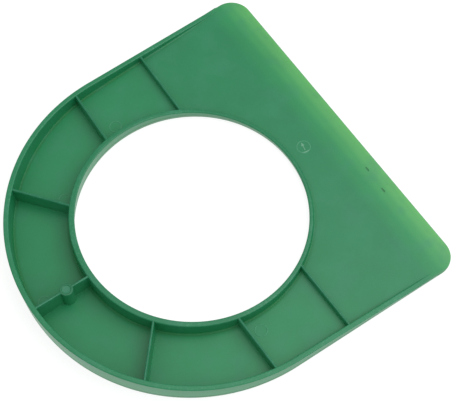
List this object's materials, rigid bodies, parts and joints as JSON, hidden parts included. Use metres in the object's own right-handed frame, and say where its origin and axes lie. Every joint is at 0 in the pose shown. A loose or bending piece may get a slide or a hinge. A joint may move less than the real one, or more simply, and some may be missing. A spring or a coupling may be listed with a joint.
{
  "type": "practice putting cup",
  "caption": "D-shaped ramp plate with a large round hole, ringed by a rim wall and braced by thin ribs on its hollow side, tapering to a feathered front edge.",
  "frame": {"origin": "middle of the bounding box at its base, on the deck's outer face; the centre of the round hole lies 0.9 mm behind it along X", "axes": "+Z out of the deck towards the hollow, ribbed side, +X towards the feathered front edge, +Y towards the left side seen from behind; in play the part is turned over, so that the rim plane stands on the ground and the deck is a ramp"},
  "size_m": [0.169, 0.1724, 0.0146],
  "materials": {
    "green_plastic": "satin moulded polypropylene, slightly translucent green",
    "thin_green_plastic": "the same plastic, paler and yellower where it is thin enough to pass light"
  },
  "bodies": {
    "root": {"deck_plate": "green_plastic", "front_lip": "thin_green_plastic", "rear_rim_wall": "green_plastic", "side_wall_left": "green_plastic", "side_wall_right": "green_plastic", "hole_collar": "green_plastic", "socket_boss": "green_plastic", "rib_rear_inner": "green_plastic", "rib_rear_outer": "green_plastic", "rib_diagonal_left": "green_plastic", "rib_diagonal_right": "green_plastic", "rib_middle_left": "green_plastic", "rib_middle_right": "green_plastic", "rib_front_left": "green_plastic", "rib_front_right": "green_plastic"}
  },
  "joints": []
}
